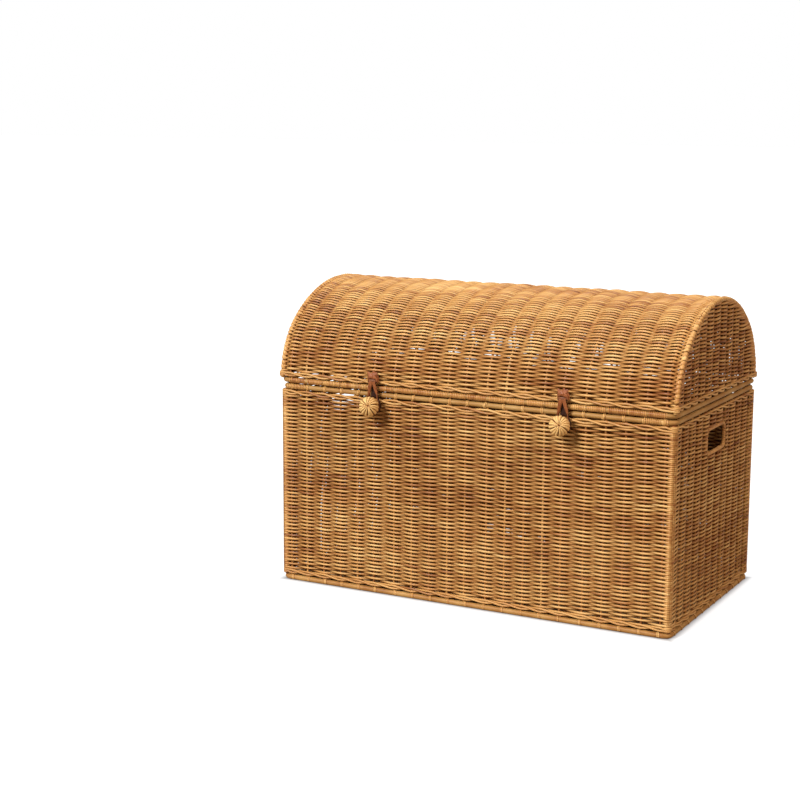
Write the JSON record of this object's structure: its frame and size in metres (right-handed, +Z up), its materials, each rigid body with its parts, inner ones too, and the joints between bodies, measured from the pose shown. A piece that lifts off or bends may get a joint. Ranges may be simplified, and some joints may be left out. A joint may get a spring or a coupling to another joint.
{
  "type": "wicker storage trunk",
  "caption": "Long rectangular woven rattan storage trunk with a hinged barrel lid, hand-holds in its ends and leather loops that hook over cane balls.",
  "frame": {"origin": "on the floor at the middle of the wall's footprint, on the underside of the middle base crossbar", "axes": "+X along the trunk to its right end, -Y out of the front where the closures are, +Z up"},
  "size_m": [0.7036, 0.4398, 0.508],
  "materials": {
    "rattan": "satin",
    "cane": "satin",
    "leather": "satin",
    "plywood": "matte"
  },
  "bodies": {
    "body": {"back_posts": "rattan", "back_stakes": "rattan", "back_weave": "rattan", "ball_cords": "cane", "base_crossbars": "rattan", "base_panel": "plywood", "body_rim": "rattan", "body_rim_ties": "cane", "body_top_wale": "rattan", "bottom_rim": "rattan", "bottom_rim_ties": "cane", "bottom_wale": "rattan", "corner_posts": "rattan", "front_posts": "rattan", "front_stakes": "rattan", "front_weave": "rattan", "hinge_bindings": "cane", "left_ball": "cane", "left_hand_hold": "rattan", "left_stakes": "rattan", "left_weave": "rattan", "right_ball": "cane", "right_hand_hold": "rattan", "right_stakes": "rattan", "right_weave": "rattan"},
    "lid": {"dome_weave": "rattan", "left_arch": "rattan", "left_end_stakes": "rattan", "left_end_weave": "rattan", "left_knot": "leather", "lid_ribs": "rattan", "lid_rim": "rattan", "lid_rim_wrap": "cane", "lid_stakes": "rattan", "lid_wale": "rattan", "right_arch": "rattan", "right_end_stakes": "rattan", "right_end_weave": "rattan", "right_knot": "leather"},
    "left_loop_body": {"left_loop": "leather"},
    "right_loop_body": {"right_loop": "leather"}
  },
  "joints": [
    {"name": "lid_hinge", "type": "hinge", "parent": "body", "child": "lid", "pos_m": [0, 0.195, 0.347], "axis": [-1, 0, 0], "range_deg": [0, 100]},
    {"name": "left_loop_hinge", "type": "hinge", "parent": "lid", "child": "left_loop_body", "pos_m": [-0.16779, -0.2062, 0.36], "axis": [-1, 0, 0], "range_deg": [0, 90]},
    {"name": "right_loop_hinge", "type": "hinge", "parent": "lid", "child": "right_loop_body", "pos_m": [0.16779, -0.2062, 0.36], "axis": [-1, 0, 0], "range_deg": [0, 90]}
  ]
}
